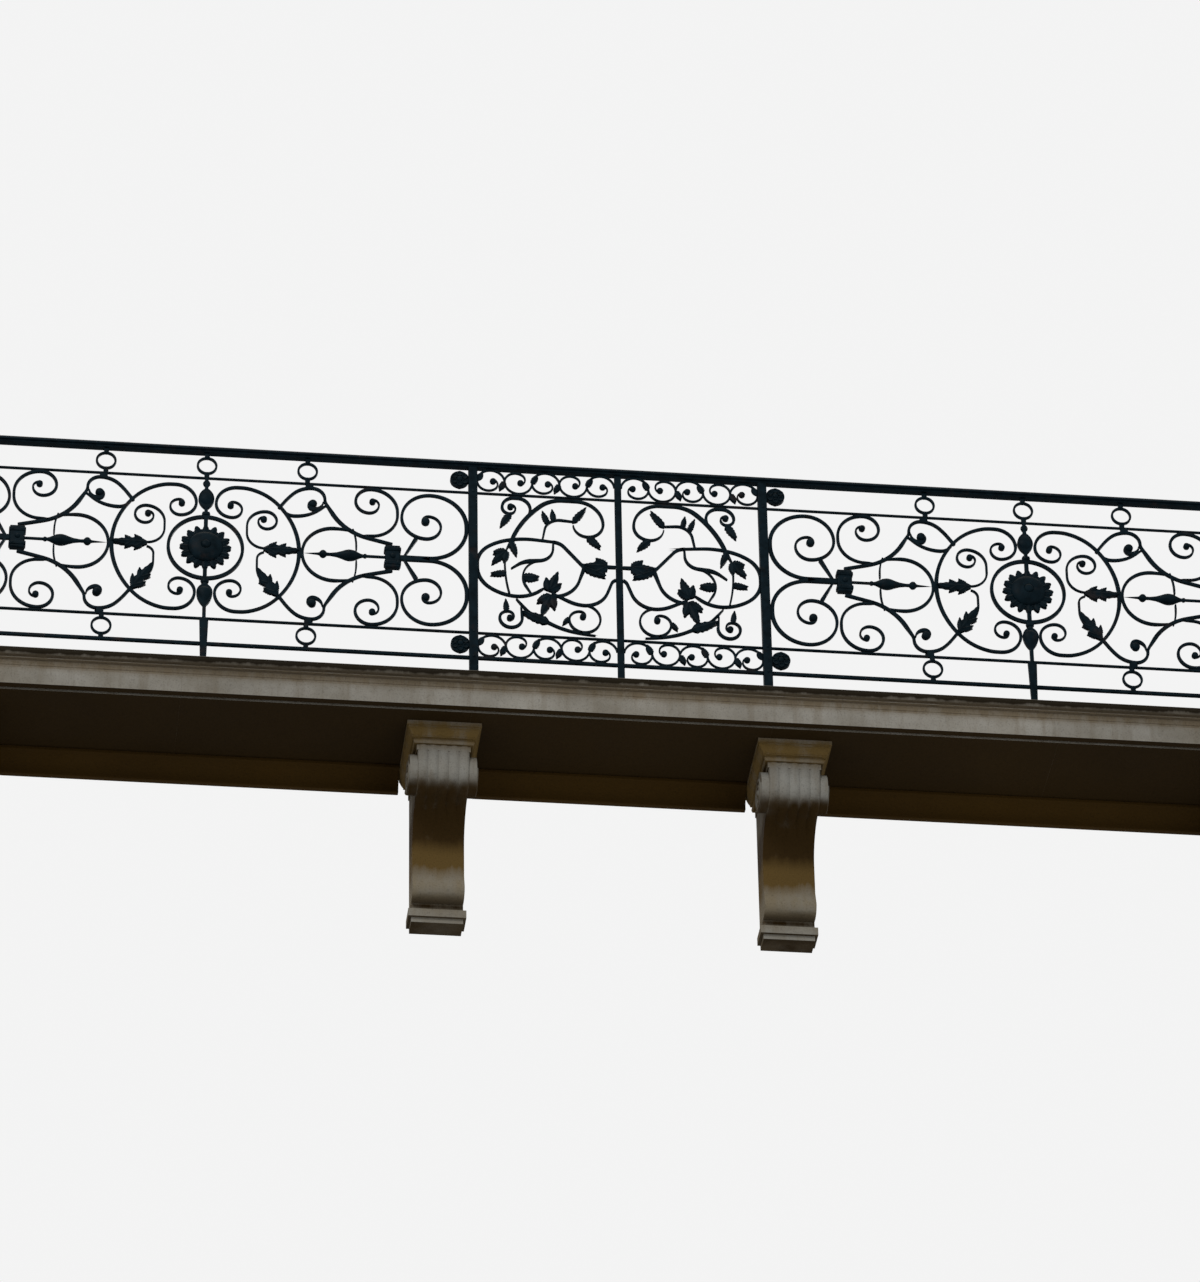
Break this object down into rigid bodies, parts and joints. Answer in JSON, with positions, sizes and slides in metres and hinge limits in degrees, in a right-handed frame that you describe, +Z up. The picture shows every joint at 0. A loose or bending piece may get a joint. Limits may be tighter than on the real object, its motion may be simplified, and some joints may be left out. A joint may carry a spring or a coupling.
{
  "type": "iron balcony",
  "caption": "Running balcony: a moulded stone slab on scrolled stone consoles, with a wrought iron railing of scrolled panels, medallions and a moulded handrail round its edge.",
  "frame": {"origin": "the middle of the slab's flat back face, on the wall", "axes": "+X along the wall to the right seen from outside, +Y into the wall, +Z up; the balcony stands out to -Y"},
  "size_m": [5.74, 0.555, 1.957],
  "materials": {
    "stone": "dressed limestone, weathered, with dirt under the nosing",
    "iron": "old dark blue-black paint on wrought iron, semi-matt, worn on the edges"
  },
  "bodies": {
    "root": {"bed_mould": "stone", "bottom_rails": "iron", "console_1": "stone", "console_2": "stone", "console_3": "stone", "console_4": "stone", "end_post_left": "iron", "end_post_right": "iron", "handrail_front": "iron", "handrail_left": "iron", "handrail_right": "iron", "left_axis_ornament": "iron", "left_collars": "iron", "left_frieze_rings": "iron", "left_medallion": "iron", "left_return_scrollwork": "iron", "left_scrollwork": "iron", "left_spears": "iron", "lower_rails": "iron", "pier_centre_bar": "iron", "pier_left_scrollwork": "iron", "pier_lower_frieze": "iron", "pier_post_left": "iron", "pier_post_right": "iron", "pier_right_scrollwork": "iron", "pier_upper_frieze": "iron", "post_rosettes": "iron", "right_axis_ornament": "iron", "right_collars": "iron", "right_frieze_rings": "iron", "right_medallion": "iron", "right_return_scrollwork": "iron", "right_scrollwork": "iron", "right_spears": "iron", "slab_stone_1": "stone", "slab_stone_2": "stone", "slab_stone_3": "stone", "slab_stone_4": "stone", "slab_stone_5": "stone", "upper_rails": "iron", "wall_post_left": "iron", "wall_post_right": "iron"}
  },
  "joints": []
}
